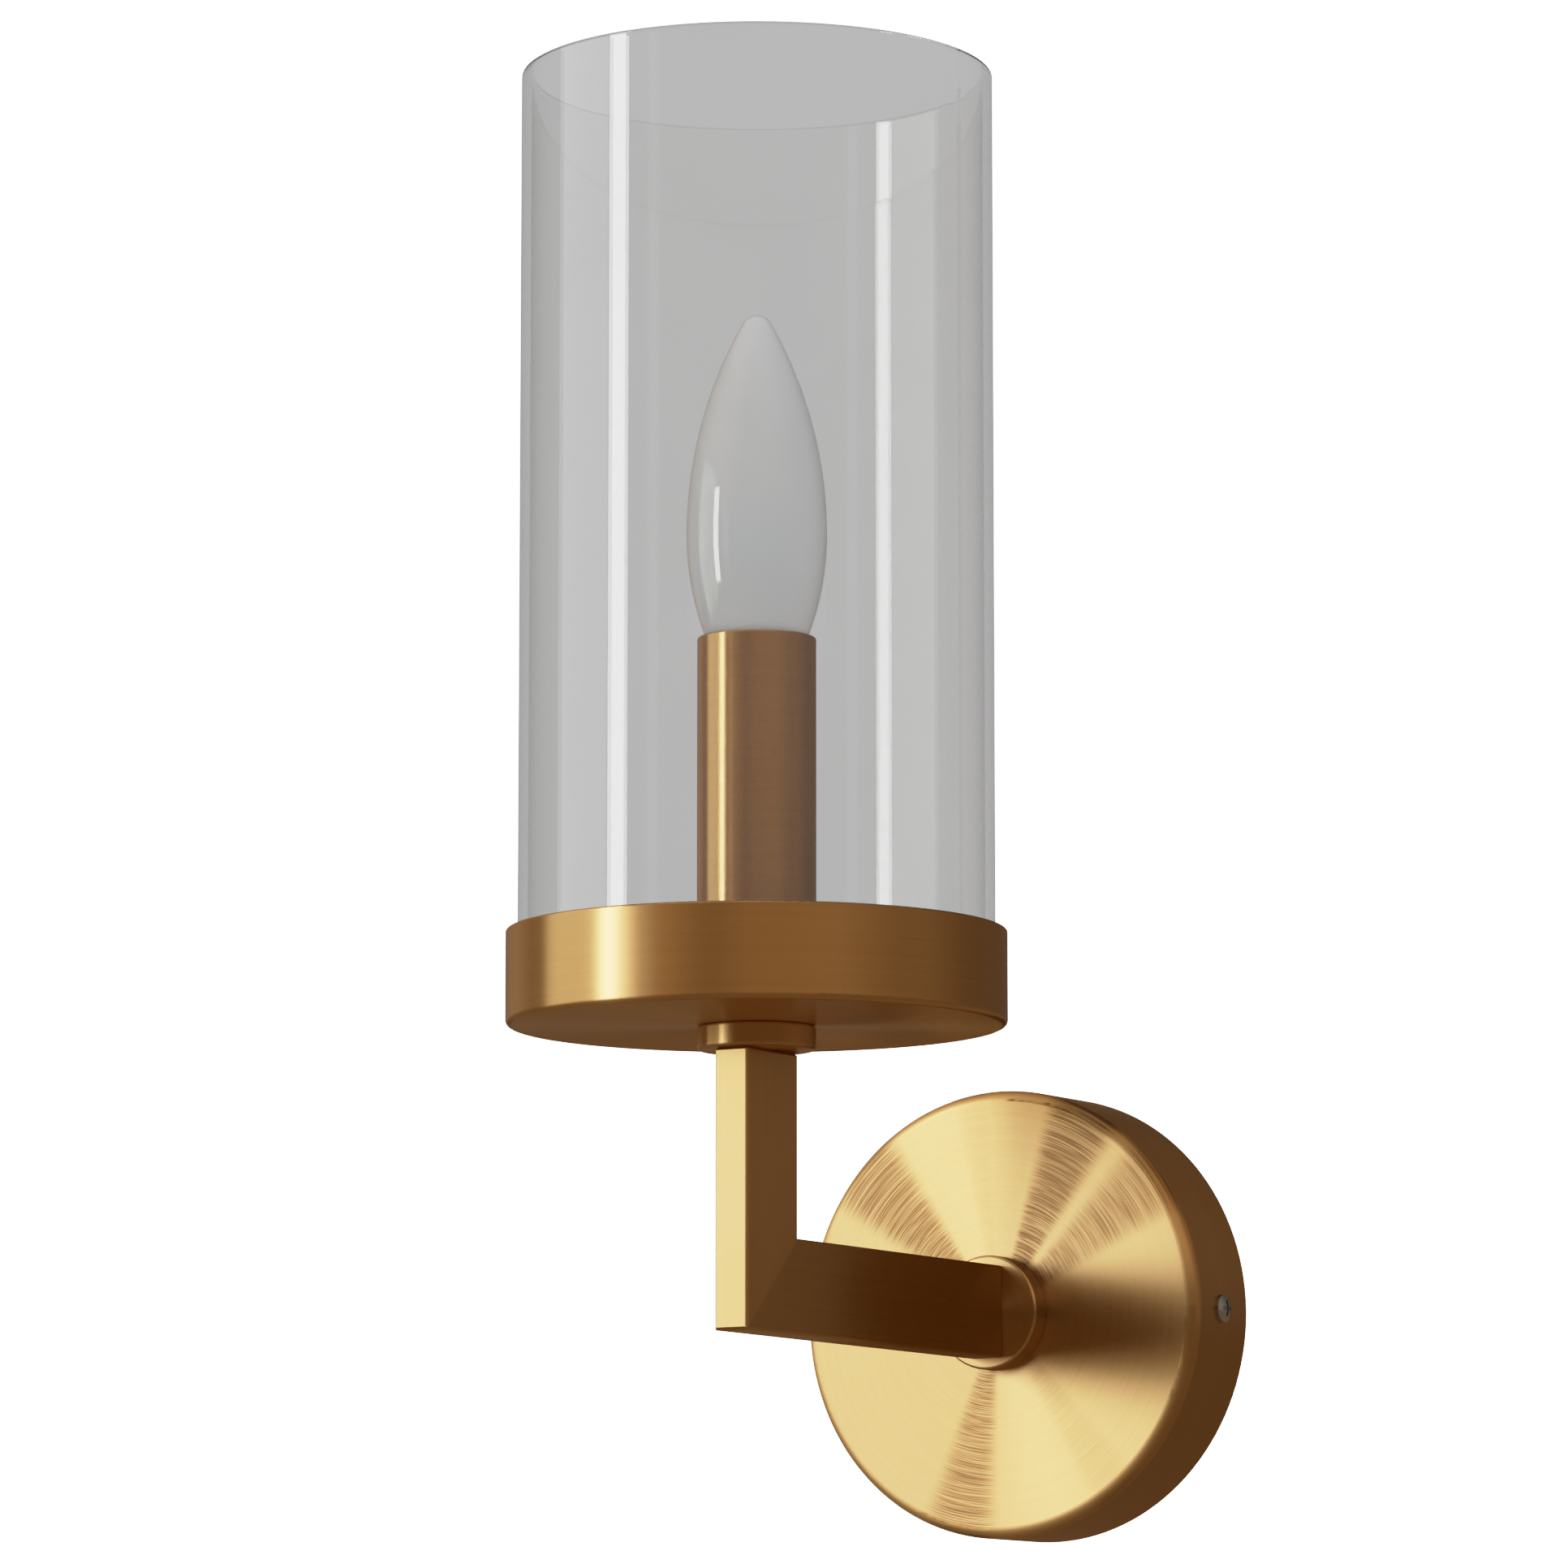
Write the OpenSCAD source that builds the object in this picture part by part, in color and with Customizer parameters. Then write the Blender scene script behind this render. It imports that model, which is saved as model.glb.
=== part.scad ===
// Wall sconce with a candle-shaped bulb in a glass cylinder.
// Millimetres. The wall is the plane y = 0, the sconce stands out along -Y, and +Z is up.
// The origin is the centre of the canopy's back, on the wall.

/* [Canopy] */
// Outside diameter of the canopy
canopy_d = 118; // [114:1:140]
// How far the canopy stands off the wall
canopy_depth = 28.5; // [26:0.5:36]
// Sheet thickness of the canopy
canopy_wall = 1.2; // [0.8:0.1:2]
// Rounding of the canopy's front edge
canopy_edge = 3; // [2:0.5:5]
// Distance of the side screws from the wall
side_screw_y = 14; // [12:0.5:17]

/* [Arm] */
// Distance from the wall to the lamp's axis
reach = 149; // [130:1:200]
// Width of the arm's bar
bar_w = 9.7; // [9.5:0.1:12]
// Depth of the arm's bar, in the plane of the L
bar_d = 24.2; // [23.5:0.1:28]
// Wall thickness of the bar
bar_wall = 1.2; // [1:0.1:1.5]
// Rounding of the bar's long edges
bar_edge = 0.8; // [0.4:0.1:1]
// Height of the arm's top above the middle of the canopy
arm_top_z = 58.6; // [50:0.1:90]

/* [Collars] */
// Diameter of the two round collars
collar_d = 30; // [28:0.5:36]
// Thickness of the two round collars
collar_t = 6; // [5:0.5:8]
// Rounding of the collars' edges
collar_edge = 0.8; // [0.4:0.1:1.2]

/* [Dish] */
// Outside diameter of the dish
dish_d = 126; // [125:0.5:132]
// Height of the dish
dish_h = 24; // [18:0.5:32]
// Side wall thickness of the dish
dish_wall = 2.3; // [2:0.1:2.4]
// Floor thickness of the dish
dish_floor = 2.4; // [1.6:0.1:3]
// Rounding of the dish's bottom edge
dish_edge = 1.5; // [1:0.1:2]

/* [Glass] */
// Outside diameter of the glass cylinder
glass_d = 120; // [116:0.5:120.5]
// Height of the glass cylinder
glass_h = 240.2; // [200:0.1:280]
// Wall thickness of the glass cylinder
glass_wall = 2.5; // [2:0.1:4]
// Thickness of the soft ring under the glass
cushion_t = 1; // [0.5:0.1:2]

/* [Candle sleeve] */
// Outside diameter of the candle sleeve
sleeve_d = 30; // [29.5:0.1:32]
// Height of the candle sleeve
sleeve_h = 96; // [95:0.5:97]
// Wall thickness of the candle sleeve
sleeve_wall = 1.2; // [0.8:0.1:1.4]

/* [Bulb] */
// Largest diameter of the bulb
bulb_d = 35.6; // [34:0.1:36]
// Height of the bulb's widest place above the sleeve's top
bulb_mid_rise = 26.5; // [26:0.1:28]
// Height of the bulb's tip above the widest place
bulb_tip_rise = 56.6; // [54:0.1:60]
// Curve radius of the bulb's side above the widest place
bulb_ogive_r = 112; // [108:1:116]
// Curve radius of the bulb's side below the widest place
bulb_lower_r = 73.3; // [72:0.1:75]
// Height from the bulb's tip contact to the top of its cap
bulb_cap_h = 25; // [24.5:0.1:25.5]

/* [Hidden] */
$fn = 96;

// A little extra length, so that a cut runs clean through
past = 1;
// Gap between parts that slide together by hand
slip = 0.1;
// Radial gap drawn between a thread and its tapped hole
thread_gap = 0.03;

brass = [0.72, 0.53, 0.30];
plain_brass = [0.80, 0.66, 0.35];
steel = [0.70, 0.71, 0.73];
cream = [0.93, 0.92, 0.88];

// Heights, from the arm's top upwards
collar_top_z = arm_top_z + collar_t;
dish_floor_z = collar_top_z + dish_floor;
glass_bottom_z = dish_floor_z + cushion_t;
sleeve_top_z = dish_floor_z + sleeve_h;
bulb_mid_z = sleeve_top_z + bulb_mid_rise;

// Distances from the wall
canopy_inside_y = -(canopy_depth - canopy_wall);
boss_front_y = -(canopy_depth + collar_t);

// Threaded tube, M10 fine, hollow
tube_r = 5;
tube_bore_r = 3.75;
tube_hole_r = 5.2;
tapped_depth = collar_t - 1;
nut_across_flats = 14;
nut_t = 4;
washer_t = 2;
lock_washer_t = 0.8;
nipple_end_y = canopy_inside_y + 9.8;

// Spigot of a collar, inside the end of the bar
spigot_w = bar_w - 2 * bar_wall - 2 * slip;
spigot_d = bar_d - 2 * bar_wall - 2 * slip;
spigot_l = 8;
wire_slot_w = 4.6;
wire_slot_d = 12;
arm_end_chamfer = 0.8;
arm_seam_chamfer = 0.3;

// Wall bracket
bracket_t = 1.5;
strip_h = 20;
ear_x = canopy_d / 2 - canopy_wall - 1.4;
ear_l = 20;
tab_w = 28;
tab_top_z = 40;
tab_bottom_z = -34;
cable_hole_r = 8;
wall_slot_x = 35;
wall_slot_r = 2.5;
wall_slot_l = 12;

// Screws of the canopy and the earth
screw_r = 2;
screw_head_r = 3.6;
screw_head_h = 1.9;
screw_l = 8;
screw_hole_r = 2.25;
recess_w = 0.9;
recess_l = 4.2;
recess_depth = 1;
earth_screw_z = -24;

// Terminal block
block_w = 26;
block_d = 12;
block_h = 16;
block_z = 21;
pole_pitch = 8;
pole_y = -7.5;
pole_sleeve_r = 2.2;
pole_bore_r = 1.6;
clamp_screw_r = 1.5;
clamp_screw_z = [4, 12];
groove_w = 1.6;
block_screw_r = 1.25;
block_screw_head_r = 2.1;
block_screw_head_h = 1.4;

// Wires
wire_r = 1.1;
wire_offset = 1.6;
wire_bend_r = 9;
wire_sides = 8;

// Lampholder for the small screw cap, set by where the bulb's contact comes
seat_z = bulb_mid_z - sqrt(pow(bulb_lower_r, 2) - pow(bulb_lower_r - bulb_d / 2 + 8.5, 2)) - bulb_cap_h;
holder_r = 13;
insert_t = 5.5;
insert_r = 10.9;
insert_top_z = seat_z - 1;
insert_z = insert_top_z - insert_t;
holder_floor_t = 4;
holder_chamber_h = 12;
holder_bottom_z = insert_z - holder_chamber_h - holder_floor_t;
holder_floor_z = holder_bottom_z + holder_floor_t;
skirt_top_z = seat_z + 23;
skirt_bore_r = 9.2;
chamber_r = 10;
spigot_in_r = 11;
spigot_out_r = 11.9;
base_spigot_h = 3.5;
shell_r = 7.15;
shell_wall = 0.4;
shell_flange_r = 10.5;
shell_h = 17;
holder_terminal_x = 5.5;
holder_terminal_size = [5, 6, 6];
strap_t = 0.8;
strap_w = 3;

// Bulb
bulb_r = bulb_d / 2;
bulb_wall = 0.8;
bulb_tip_z = bulb_mid_z + bulb_tip_rise;
cap_top_z = seat_z + bulb_cap_h;
cap_r = 6.95;
cap_wall = 0.5;
cap_flange_r = 8.5;
cap_flange_h = 3;
cap_flare_h = 2.5;
cap_bottom_z = seat_z + 5;
contact_r = 2.4;
contact_h = 1.5;
neck_r = 6.2;
neck_h = 8;
stem_r = 1.8;
stem_h = 30;
stem_top_z = cap_top_z - neck_h + stem_h;

// Rounded tip of the bulb: the circle that touches the side's curve and ends at the tip
ogive_x = bulb_ogive_r - bulb_r;
tip_span = pow(bulb_ogive_r, 2) - pow(ogive_x, 2) - pow(bulb_tip_rise, 2);
tip_r = tip_span / (2 * (bulb_ogive_r - bulb_tip_rise));
tip_centre_z = bulb_tip_z - tip_r;
tip_join_z = tip_centre_z + tip_r * (tip_centre_z - bulb_mid_z) / (bulb_ogive_r - tip_r);

// ---- shapes that repeat ----

// Puts a shape made about the z axis on the lamp's axis, at height z
module on_lamp_axis(z = 0) {
    translate([0, -reach, z]) children();
}

// Turns a shape so that its +Z points into the wall, and sets it at depth y
module towards_wall(y, x = 0, z = 0) {
    translate([x, y, z]) rotate([-90, 0, 0]) children();
}

// Ring or tube standing on z = 0
module ring(outer_r, inner_r, height) {
    difference() {
        cylinder(h = height, r = outer_r);
        translate([0, 0, -past]) cylinder(h = height + 2 * past, r = inner_r);
    }
}

// Half outline of a disc whose lower edge is rounded
module low_edge_outline(radius, height, edge) {
    square([radius - edge, height]);
    translate([0, edge]) square([radius, height - edge]);
    translate([radius - edge, edge]) circle(r = edge);
}

// Half outline of a tube wall with both ends rounded
module tube_outline(outer_r, inner_r, height, edge) {
    wall = outer_r - inner_r;
    translate([inner_r, edge]) square([wall, height - 2 * edge]);
    translate([inner_r + edge, 0]) square([wall - 2 * edge, height]);
    for (x = [inner_r + edge, outer_r - edge], z = [edge, height - edge])
        translate([x, z]) circle(r = edge);
}

// Cup open at the top: floor, side wall, rounded bottom edge and rounded rim
module cup(radius, height, wall, floor_t, edge, rim) {
    rotate_extrude() difference() {
        union() {
            low_edge_outline(radius, height / 2, edge);
            translate([0, height / 4]) tube_outline(radius, radius - wall, height * 3 / 4, rim);
        }
        translate([0, floor_t]) low_edge_outline(radius - wall, height, max(edge - wall, 0.4));
    }
}

module hex_nut(across_flats, height, bore_r) {
    difference() {
        cylinder(h = height, r = across_flats / sqrt(3), $fn = 6);
        translate([0, 0, -past]) cylinder(h = height + 2 * past, r = bore_r);
    }
}

// Pan-head screw with a cross recess: its head sits on z = 0 and its shank points down
module pan_screw(shank_r, shank_l, head_r, head_h, slot_l, slot_w, slot_depth) {
    dome_r = (pow(head_r, 2) + pow(head_h / 2, 2)) / head_h;
    difference() {
        rotate_extrude() intersection() {
            square([head_r, head_h]);
            translate([0, head_h - dome_r]) circle(r = dome_r);
        }
        for (turn = [0, 90])
            rotate([0, 0, turn]) translate([-slot_l / 2, -slot_w / 2, head_h - slot_depth])
                cube([slot_l, slot_w, slot_depth + past]);
    }
    translate([0, 0, -shank_l]) cylinder(h = shank_l, r = shank_r);
}

module cross_screw(shank_l) {
    pan_screw(screw_r, shank_l, screw_head_r, screw_head_h, recess_l, recess_w, recess_depth);
}

// Round collar with a tapped hole from its top and a spigot for the bar underneath
module turned_collar() {
    difference() {
        union() {
            rotate_extrude() {
                square([collar_d / 2 - collar_edge, collar_t]);
                translate([0, collar_edge]) square([collar_d / 2, collar_t - 2 * collar_edge]);
                for (z = [collar_edge, collar_t - collar_edge])
                    translate([collar_d / 2 - collar_edge, z]) circle(r = collar_edge);
            }
            translate([-spigot_w / 2, -spigot_d / 2, -spigot_l])
                cube([spigot_w, spigot_d, spigot_l + past]);
        }
        translate([0, 0, collar_t - tapped_depth])
            cylinder(h = tapped_depth + past, r = tube_r + thread_gap);
        translate([-wire_slot_w / 2, -wire_slot_d / 2, -spigot_l - past])
            cube([wire_slot_w, wire_slot_d, spigot_l + collar_t - tapped_depth + 2 * past]);
    }
}

// ---- wires ----

// Direction of a route at point i
function route_direction(route, i) =
    let (ahead = route[min(i + 1, len(route) - 1)], behind = route[max(i - 1, 0)])
    (ahead - behind) / norm(ahead - behind);

// Ring of points round point i of a route, square to the route's direction
function route_ring(route, i, radius, sides) =
    let (
        along = route_direction(route, i),
        across = cross(along, [1, 0, 0]) / norm(cross(along, [1, 0, 0])),
        up = cross(along, across),
        step = 360 / sides
    )
    [for (k = [0 : sides - 1]) route[i] + radius * (cos(k * step) * across + sin(k * step) * up)];

// Solid wire along a route
module wire(route, radius = wire_r, sides = wire_sides) {
    rings = len(route);
    points = [for (i = [0 : rings - 1]) each route_ring(route, i, radius, sides)];
    skin = [
        for (i = [0 : rings - 2], k = [0 : sides - 1])
            let (a = i * sides + k, b = i * sides + (k + 1) % sides)
            each [[a, b, b + sides], [a, b + sides, a + sides]]
    ];
    start_cap = [for (k = [1 : sides - 2]) [0, k + 1, k]];
    last = (rings - 1) * sides;
    end_cap = [for (k = [1 : sides - 2]) [last, last + k, last + k + 1]];
    polyhedron(points = points, faces = concat(skin, start_cap, end_cap));
}

// Route of one lamp wire: side is -1 or 1, in x at both ends and in the bar's plane along the arm
function lamp_wire_route(side) =
    let (
        x_end = side * pole_pitch,
        lane = side * wire_offset,
        bend = wire_bend_r - lane,
        corner_y = -reach + wire_bend_r,
        dip = (nipple_end_y - pole_y) / 10
    )
    concat(
        [
            [x_end, pole_y, block_z + block_h - 4],
            [x_end, pole_y, block_z - 1],
            [x_end * 0.94, pole_y + 0.3 * dip, block_z - 5],
            [x_end * 0.72, pole_y + 1.5 * dip, block_z - 10],
            [x_end * 0.40, pole_y + 3.6 * dip, block_z - 15],
            [x_end * 0.12, pole_y + 6 * dip, lane + 2.2],
            [0, nipple_end_y + 1.5, lane],
            [0, nipple_end_y - 4, lane]
        ],
        [for (a = [0 : 15 : 90]) [0, corner_y - bend * sin(a), wire_bend_r - bend * cos(a)]],
        [
            [0, -reach + lane, holder_floor_z - 4],
            [0, -reach + lane, holder_floor_z],
            [side * 0.9, -reach + lane * 0.9, holder_floor_z + 1.2],
            [side * 2.9, -reach + lane * 0.5, holder_floor_z + 2.7],
            [side * 4.7, -reach + lane * 0.15, holder_floor_z + 4],
            [side * holder_terminal_x, -reach, holder_floor_z + 5.4],
            [side * holder_terminal_x, -reach, insert_z - 2]
        ]
    );

earth_route = [
    [0, pole_y, block_z + block_h - 4],
    [0, pole_y, block_z - 1],
    [0, -7, 14],
    [0, -6, 8],
    [0, -5, 0],
    [0, -4, -7],
    [0, -3.5, -12],
    [0, -3.4, -17]
];

// ---- wall side ----

module slot_outline(length, radius) {
    square([length - 2 * radius, 2 * radius], center = true);
    for (x = [-1, 1]) translate([x * (length / 2 - radius), 0]) circle(r = radius);
}

module wall_bracket() {
    color(steel) difference() {
        union() {
            rotate([90, 0, 0]) linear_extrude(height = bracket_t) difference() {
                union() {
                    square([2 * ear_x, strip_h], center = true);
                    translate([-tab_w / 2, tab_bottom_z]) square([tab_w, tab_top_z - tab_bottom_z]);
                }
                circle(r = cable_hole_r);
                for (x = [-wall_slot_x, wall_slot_x])
                    translate([x, 0]) slot_outline(wall_slot_l, wall_slot_r);
                for (x = [-pole_pitch / 2, pole_pitch / 2])
                    translate([x, block_z + block_h / 2]) circle(r = block_screw_r + thread_gap);
                translate([0, earth_screw_z]) circle(r = screw_r + thread_gap);
            }
            for (x = [-ear_x, ear_x - bracket_t])
                translate([x, -ear_l, -strip_h / 2]) cube([bracket_t, ear_l, strip_h]);
        }
        for (side = [-1, 1])
            translate([side * ear_x, -side_screw_y, 0]) rotate([0, 90, 0])
                cylinder(h = 4 * bracket_t, r = screw_r + thread_gap, center = true);
    }
}

module canopy() {
    color(brass) difference() {
        towards_wall(-canopy_depth)
            cup(canopy_d / 2, canopy_depth, canopy_wall, canopy_wall, canopy_edge, 0.3);
        towards_wall(-canopy_depth - past) cylinder(h = 2 * canopy_wall + past, r = tube_hole_r);
        for (side = [-1, 1])
            translate([side * canopy_d / 2, -side_screw_y, 0]) rotate([0, 90, 0])
                cylinder(h = 6 * canopy_wall, r = screw_hole_r, center = true);
    }
}

module canopy_screws() {
    color(steel) for (side = [-1, 1])
        translate([side * canopy_d / 2, -side_screw_y, 0]) rotate([0, side * 90, 0]) cross_screw(screw_l);
}

module terminal_block() {
    front_y = -bracket_t - block_d;
    color(cream) difference() {
        translate([-block_w / 2, front_y, block_z]) cube([block_w, block_d, block_h]);
        for (i = [-1 : 1]) {
            translate([i * pole_pitch, pole_y, block_z - past])
                cylinder(h = block_h + 2 * past, r = pole_sleeve_r + slip / 2);
            for (z = clamp_screw_z)
                towards_wall(front_y - past, i * pole_pitch, block_z + z)
                    cylinder(h = pole_y - front_y + past, r = clamp_screw_r + thread_gap);
        }
        for (x = [-pole_pitch / 2, pole_pitch / 2]) {
            towards_wall(front_y - past, x, block_z + block_h / 2) {
                cylinder(h = block_d + 2 * past, r = block_screw_r + slip);
                cylinder(h = block_screw_head_h + past, r = block_screw_head_r + slip);
            }
            for (z = [block_z - past, block_z + block_h - 3])
                translate([x - groove_w / 2, front_y - past, z]) cube([groove_w, 3 + past, 3 + past]);
        }
    }
}

module terminal_sleeves() {
    inset = 0.5;
    color(plain_brass) for (i = [-1 : 1])
        difference() {
            translate([i * pole_pitch, pole_y, block_z + inset])
                ring(pole_sleeve_r, pole_bore_r, block_h - 2 * inset);
            for (z = clamp_screw_z)
                towards_wall(pole_y - pole_sleeve_r - past, i * pole_pitch, block_z + z)
                    cylinder(h = pole_sleeve_r + past, r = clamp_screw_r + thread_gap);
        }
}

module terminal_screws() {
    front_y = -bracket_t - block_d;
    tip_gap = 0.05;
    shank = pole_y - wire_r - tip_gap - (front_y + 0.6);
    color(steel) for (i = [-1 : 1], z = clamp_screw_z)
        towards_wall(front_y + 0.6, i * pole_pitch, block_z + z) difference() {
            cylinder(h = shank, r = clamp_screw_r);
            translate([-clamp_screw_r - past, -0.25, -past])
                cube([2 * clamp_screw_r + 2 * past, 0.5, 0.6 + past]);
        }
}

module terminal_block_screws() {
    head_y = -bracket_t - block_d + block_screw_head_h;
    color(steel) for (x = [-pole_pitch / 2, pole_pitch / 2])
        translate([x, head_y, block_z + block_h / 2]) rotate([90, 0, 0])
            pan_screw(block_screw_r, -head_y - 0.2, block_screw_head_r, block_screw_head_h, 2.4, 0.5, 0.6);
}

module earth_screw() {
    under_head = bracket_t + strap_t;
    color(steel) translate([0, -under_head, earth_screw_z]) rotate([90, 0, 0])
        pan_screw(screw_r, under_head - 0.2, screw_head_r, screw_head_h, recess_l, recess_w, recess_depth);
}

module earth_tag() {
    barrel_r = 1.8;
    barrel_y = -3.4;
    color(plain_brass) {
        towards_wall(-bracket_t - strap_t, 0, earth_screw_z) ring(4.4, screw_r + slip, strap_t);
        difference() {
            union() {
                translate([-1.5, -bracket_t - strap_t, earth_screw_z + 4]) cube([3, strap_t, 3]);
                translate([0, barrel_y, earth_screw_z + 5]) cylinder(h = 6, r = barrel_r);
            }
            translate([0, barrel_y, earth_screw_z + 5.5]) cylinder(h = 6 + past, r = wire_r + thread_gap);
        }
    }
}

module earth_wire() {
    color([0.35, 0.62, 0.22]) wire(earth_route);
}

module live_wire() {
    color([0.38, 0.22, 0.12]) wire(lamp_wire_route(-1));
}

module neutral_wire() {
    color([0.15, 0.30, 0.62]) wire(lamp_wire_route(1));
}

module arm_boss() {
    color(brass) towards_wall(boss_front_y) turned_collar();
}

module arm_nipple() {
    start_y = -canopy_depth - tapped_depth;
    color(plain_brass) towards_wall(start_y) ring(tube_r, tube_bore_r, nipple_end_y - start_y);
}

module canopy_lock_washer() {
    tooth_count = 12;
    color(steel) towards_wall(canopy_inside_y) difference() {
        ring(9, tube_r + slip, lock_washer_t);
        for (k = [0 : tooth_count - 1])
            rotate([0, 0, k * 360 / tooth_count]) translate([9, 0, -past])
                cylinder(h = lock_washer_t + 2 * past, r = 1.1);
    }
}

module canopy_nut() {
    color(plain_brass) towards_wall(canopy_inside_y + lock_washer_t)
        hex_nut(nut_across_flats, nut_t, tube_r + thread_gap);
}

module nipple_bush() {
    bore = 2.9;
    color(cream) {
        towards_wall(nipple_end_y - 4) ring(tube_bore_r - thread_gap, bore, 4 + thread_gap);
        towards_wall(nipple_end_y) ring(tube_r, bore, 1);
    }
}

// ---- arm ----

// Side outline of the L, with its outer corner rounded; x is depth from the wall and y is height
module arm_side_outline() {
    front = -reach - bar_d / 2;
    low = -bar_d / 2;
    difference() {
        union() {
            translate([front, low]) square([bar_d, arm_top_z - low]);
            translate([front, low]) square([boss_front_y - front, bar_d]);
        }
        difference() {
            translate([front - past, low - past]) square([bar_edge + past, bar_edge + past]);
            translate([front + bar_edge, low + bar_edge]) circle(r = bar_edge);
        }
    }
}

// Rounded section of the bar
module bar_section() {
    square([bar_w - 2 * bar_edge, bar_d], center = true);
    square([bar_w, bar_d - 2 * bar_edge], center = true);
    for (x = [-1, 1], y = [-1, 1])
        translate([x * (bar_w / 2 - bar_edge), y * (bar_d / 2 - bar_edge)]) circle(r = bar_edge);
}

// Half space on one side of the mitre at the L's corner: side is 1 above it and -1 below it
module mitre_half(side) {
    far = 2 * reach;
    translate([0, -reach, 0]) rotate([45, 0, 0]) translate([-bar_w, -far, side > 0 ? 0 : -far])
        cube([2 * bar_w, 2 * far, far]);
}

module arm() {
    inner_w = bar_w - 2 * bar_wall;
    inner_d = bar_d - 2 * bar_wall;
    front = -reach - bar_d / 2;
    cut = arm_end_chamfer * sqrt(2);
    seam_cut = arm_seam_chamfer * sqrt(2);
    color(brass) difference() {
        intersection() {
            union() {
                intersection() {
                    on_lamp_axis(-bar_d / 2) linear_extrude(height = arm_top_z + bar_d / 2) bar_section();
                    mitre_half(1);
                }
                intersection() {
                    towards_wall(front) linear_extrude(height = boss_front_y - front) bar_section();
                    mitre_half(-1);
                }
            }
            rotate([90, 0, 90]) linear_extrude(height = 2 * bar_w, center = true) arm_side_outline();
        }
        translate([-inner_w / 2, -reach - inner_d / 2, -inner_d / 2])
            cube([inner_w, inner_d, arm_top_z + bar_d]);
        translate([-inner_w / 2, -reach - inner_d / 2, -inner_d / 2]) cube([inner_w, reach, inner_d]);
        for (side = [-1, 1]) {
            translate([side * bar_w / 2, -reach, arm_top_z]) rotate([0, 45, 0])
                cube([cut, 2 * bar_d, cut], center = true);
            translate([0, -reach + side * bar_d / 2, arm_top_z]) rotate([45, 0, 0])
                cube([2 * bar_w, cut, cut], center = true);
            translate([side * bar_w / 2, boss_front_y, 0]) rotate([0, 0, 45])
                cube([seam_cut, seam_cut, 2 * bar_d], center = true);
            translate([0, boss_front_y, side * bar_d / 2]) rotate([45, 0, 0])
                cube([2 * bar_w, seam_cut, seam_cut], center = true);
        }
    }
}

module dish_collar() {
    color(brass) on_lamp_axis(arm_top_z) turned_collar();
}

module centre_tube() {
    bottom = collar_top_z - tapped_depth;
    color(plain_brass) on_lamp_axis(bottom) ring(tube_r, tube_bore_r, holder_floor_z - bottom);
}

// ---- dish, glass and sleeve ----

module dish() {
    color(brass) on_lamp_axis(collar_top_z) difference() {
        cup(dish_d / 2, dish_h, dish_wall, dish_floor, dish_edge, 0.5);
        translate([0, 0, -past]) cylinder(h = dish_floor + 2 * past, r = tube_hole_r);
    }
}

module locating_washer() {
    washer_r = sleeve_d / 2 - sleeve_wall - 2 * slip;
    color(steel) on_lamp_axis(dish_floor_z) ring(washer_r, tube_hole_r, washer_t);
}

module dish_nut() {
    color(plain_brass) on_lamp_axis(dish_floor_z + washer_t)
        hex_nut(nut_across_flats, nut_t, tube_r + thread_gap);
}

module glass_cushion() {
    color([0.85, 0.85, 0.85]) on_lamp_axis(dish_floor_z) ring(glass_d / 2, glass_d / 2 - 5, cushion_t);
}

module glass_cylinder() {
    color([0.80, 0.83, 0.84, 0.4]) on_lamp_axis(glass_bottom_z) rotate_extrude()
        tube_outline(glass_d / 2, glass_d / 2 - glass_wall, glass_h, 0.7);
}

module candle_sleeve() {
    color(brass) on_lamp_axis(dish_floor_z) rotate_extrude()
        tube_outline(sleeve_d / 2, sleeve_d / 2 - sleeve_wall, sleeve_h, 0.5);
}

// ---- lampholder ----

module lampholder_base() {
    color(cream) on_lamp_axis() difference() {
        union() {
            translate([0, 0, holder_bottom_z]) cylinder(h = insert_z - holder_bottom_z, r = holder_r);
            translate([0, 0, insert_z]) ring(spigot_out_r, spigot_in_r, base_spigot_h);
        }
        translate([0, 0, holder_floor_z]) cylinder(h = holder_chamber_h + past, r = chamber_r);
        translate([0, 0, holder_bottom_z - past])
            cylinder(h = holder_floor_t + 2 * past, r = tube_r + thread_gap);
        translate([0, 0, holder_bottom_z + holder_floor_t / 2]) rotate([0, 90, 0])
            cylinder(h = holder_r + past, r = clamp_screw_r + thread_gap);
    }
}

module lampholder_grub_screw() {
    grub_l = 6;
    color(steel) on_lamp_axis(holder_bottom_z + holder_floor_t / 2) rotate([0, 90, 0])
        translate([0, 0, tube_r + thread_gap]) difference() {
            cylinder(h = grub_l, r = clamp_screw_r);
            translate([-clamp_screw_r - past, -0.25, grub_l - 0.8])
                cube([2 * clamp_screw_r + 2 * past, 0.5, 0.8 + past]);
        }
}

module lampholder_insert() {
    color(cream) on_lamp_axis(insert_z) difference() {
        cylinder(h = insert_t, r = insert_r);
        translate([0, 0, -past]) cylinder(h = insert_t + 2 * past, r = 1.5 + thread_gap);
        translate([holder_terminal_x + holder_terminal_size[0] / 2 - slip, -strap_w / 2 - slip, -past])
            cube([strap_t + 2 * slip, strap_w + 2 * slip, insert_t + 2 * past]);
    }
}

module lampholder_terminals() {
    size = holder_terminal_size;
    color(plain_brass) for (side = [-1, 1])
        on_lamp_axis(insert_z - size[2]) translate([side * holder_terminal_x, 0, 0]) difference() {
            translate([-size[0] / 2, -size[1] / 2, 0]) cube(size);
            translate([0, 0, -past]) cylinder(h = 5 + past, r = wire_r + thread_gap);
        }
}

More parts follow.
